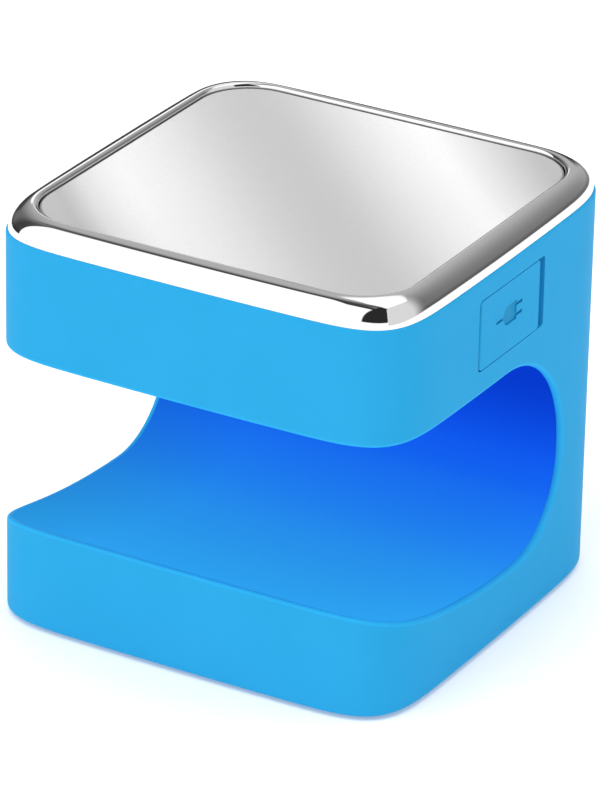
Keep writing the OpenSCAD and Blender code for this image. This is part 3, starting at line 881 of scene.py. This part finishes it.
for name, material, width in (
    ("port_box", SHELL_BLUE, 0.05),
    ("port_door", DOOR_BLUE, 0.12),
    ("door_seal", BLUE_RUBBER, 0.1),
    ("door_pin", STEEL, 0.1),
    ("lamp_window", WINDOW, 0.1),
    ("window_gasket", BLACK_RUBBER, 0.05),
    ("light_board", BOARD_WHITE, 0.08),
    ("lamps", LAMP_YELLOW, 0.08),
    ("light_board_screws", STEEL, 0.08),
    ("board_link", BLACK_PLASTIC, 0.1),
    ("main_board", BOARD_GREEN, 0.08),
    ("board_parts", CHIP_BLACK, 0.08),
    ("main_board_screws", STEEL, 0.08),
    ("switch_body", BLACK_PLASTIC, 0.1),
    ("switch_plunger", WHITE_PLASTIC, 0.1),
    ("usb_socket", STEEL, 0.05),
    ("usb_tongue", BLACK_PLASTIC, 0.08),
    ("battery_cell", FOIL, 0.3),
    ("cell_board", BOARD_GREEN, 0.08),
    ("battery_tape", BLACK_RUBBER, 0.08),
    ("battery_plug", WHITE_PLASTIC, 0.12),
    ("deck", WHITE_PLASTIC, 0.12),
    ("deck_gasket", BLACK_RUBBER, 0.05),
    ("deck_screws", STEEL, 0.1),
    ("rod_seal", BLACK_RUBBER, 0.08),
    ("plate_carrier", BLACK_PLASTIC, 0.12),
    ("leg_screws", STEEL, 0.08),
    ("bottom_cover", SHELL_BLUE, 0.15),
    ("cover_gasket", BLACK_RUBBER, 0.05),
    ("cover_screws", STEEL, 0.1),
    ("feet", BLACK_RUBBER, 0.2),
):
    dress(name, material, width)

build_shell()
build_liner()
build_bezel()
build_top_plate()
build_springs()
build_leads()


# ---- stage, lights and camera ----

def build_floor():
    half = 1.2
    floor = make_object("floor", [(-half, -half, 0), (half, -half, 0), (half, half, 0), (-half, half, 0)],
                        [(0, 1, 2, 3)])
    material, _, _, shader = plain_material(
        "pale_floor", (0.94, 0.94, 0.94), (0.95, 0.95, 0.95), (0.7, 0.8), grain=60.0, bump=0.01, spots=3.0,
        ior=MATT_IOR)
    shader.inputs["Emission Color"].default_value = (1, 1, 1, 1)
    shader.inputs["Emission Strength"].default_value = FLOOR_GLOW
    floor.data.materials.append(material)


def softbox(name, place_at, aim, size, power):
    """A square soft light that the chrome doesn't mirror."""
    data = bpy.data.lights.new(name, "AREA")
    data.shape = "SQUARE"
    data.size = size
    data.energy = power
    light = bpy.data.objects.new(name, data)
    light.location = place_at
    light.rotation_euler = (Vector(place_at) - Vector(aim)).to_track_quat("Z", "Y").to_euler()
    light.visible_glossy = False
    bpy.context.scene.collection.objects.link(light)


def multiply(nodes, links, first, second):
    node = nodes.new("ShaderNodeMath")
    node.operation = "MULTIPLY"
    links.new(first, node.inputs[0])
    links.new(second, node.inputs[1])
    return node.outputs["Value"]


def laid_over(nodes, links, colour, masks, tone):
    """A grey laid over a colour where all the masks are 1."""
    mask = masks[0]
    for other in masks[1:]:
        mask = multiply(nodes, links, mask, other)
    mix = nodes.new("ShaderNodeMix")
    mix.data_type = "RGBA"
    mix.inputs["B"].default_value = (tone, tone, tone, 1)
    links.new(mask, mix.inputs["Factor"])
    links.new(colour, mix.inputs["A"])
    return mix.outputs["Result"]


def studio_colours(nodes, links):
    """What the chrome mirrors, by direction: x is to the right, y to the back and z up.
    The walls are grey, paler to the back and higher up. Laid over them, in this order, are a dark skirting
    low on the back left, a small white slit above it, a white wall in front, a pale pane on the right, a dark
    strip across the middle, a black card on the right above the strip, and a white patch behind the strip.
    All their edges are soft."""
    where = nodes.new("ShaderNodeTexCoord").outputs["Generated"]
    split = nodes.new("ShaderNodeSeparateXYZ")
    links.new(where, split.inputs["Vector"])
    x, y, z = (split.outputs[axis] for axis in "XYZ")

    def step(value, low, high, start=0.0, end=1.0):
        return ranged(nodes, links, value, low, high, start, end, interpolation="SMOOTHSTEP")

    def along(across, back):
        return dot_product(nodes, links, where, (across, back, 0.0))

    walls = colour_ramp(nodes, links, x, -1.0, 1.0, greys(WALL_STOPS))
    walls = scaled(nodes, links, walls, step(z, 0.03, 0.18, 0.65, 1.0))
    walls = scaled(nodes, links, walls, step(y, -0.05, 0.40, 0.35, 1.0))
    skirting = (
        step(x, -0.20, -0.35),
        step(z, 0.33, 0.22),
        step(y, 0.45, 0.60),
    )
    slit = (
        step(x, -0.455, -0.465),
        step(x, -0.60, -0.58),
        step(z, 0.245, 0.275),
        step(z, 0.405, 0.385),
        step(y, 0.72, 0.74),
    )
    front_wall = (
        step(along(-0.6, 1.0), 0.245, 0.225),
        step(y, -0.01, -0.05),
    )
    pane = (
        step(along(1.0, 1.0), 0.40, 0.44),
        step(y, 0.68, 0.42),
    )
    strip = (
        step(y, -0.27, -0.21),
        step(along(1.0, 1.0), -0.50, -0.44),
        step(along(0.25, 1.0), 0.14, -0.08),
        step(along(1.0, 1.0), 0.42, 0.39),
    )
    card = (
        step(x, 0.16, 0.20),
        step(z, 0.17, 0.23),
        step(along(1.0, 1.0), 0.42, 0.39),
    )
    patch = (
        step(along(0.3, 1.0), 0.65, 0.61),
        step(along(0.25, 1.0), 0.12, 0.15),
        step(along(0.9, 1.0), 0.05, 0.09),
        step(x, -0.42, -0.36),
        step(x, 0.37, 0.33),
    )
    colour = walls
    for masks, tone in (
        (skirting, 0.06),
        (slit, 1.15),
        (front_wall, 1.18),
        (pane, 0.78),
        (strip, 0.05),
        (card, 0.025),
        (patch, 1.15),
    ):
        colour = laid_over(nodes, links, colour, masks, tone)
    return colour


def build_world():
    world = bpy.data.worlds.new("studio")
    bpy.context.scene.world = world
    world.use_nodes = True
    nodes, links = world.node_tree.nodes, world.node_tree.links
    nodes.clear()
    background = nodes.new("ShaderNodeBackground")
    output = nodes.new("ShaderNodeOutputWorld")
    links.new(studio_colours(nodes, links), background.inputs["Color"])
    links.new(background.outputs["Background"], output.inputs["Surface"])


def build_camera():
    """The view: from the right of the slot's mouth, a little above it, with a long lens."""
    azimuth, elevation, roll = math.radians(29.64), math.radians(25.508), math.radians(1.155)
    distance = 818.69 * MM
    drop = 0.465 * MM
    right = Vector((math.cos(azimuth), math.sin(azimuth), 0))
    back = Vector((math.sin(azimuth) * math.cos(elevation), -math.cos(azimuth) * math.cos(elevation),
                   math.sin(elevation)))
    up = back.cross(right)
    x_axis = right * math.cos(roll) + up * math.sin(roll)
    y_axis = -right * math.sin(roll) + up * math.cos(roll)
    middle = Vector((0, 0, (SHELL_LO.z + SHELL_HI.z) / 2))
    data = bpy.data.cameras.new("camera")
    data.sensor_width = 36
    data.lens = 253.79
    data.clip_start, data.clip_end = 0.01, 20
    camera = bpy.data.objects.new("camera", data)
    turn = Matrix((x_axis, y_axis, back)).transposed().to_4x4()
    camera.matrix_world = Matrix.Translation(middle - drop * y_axis + distance * back) @ turn
    bpy.context.scene.collection.objects.link(camera)
    bpy.context.scene.camera = camera


build_floor()
build_world()
softbox("overhead", (0, -0.1, 1.2), aim=(0, 0, 0), size=1.4, power=11.5)
softbox("fill_right", (1.0, 0.1, 0.35), aim=(0, 0, 0.03), size=0.7, power=0.4)
build_camera()
bpy.context.scene.view_settings.view_transform = "Standard"
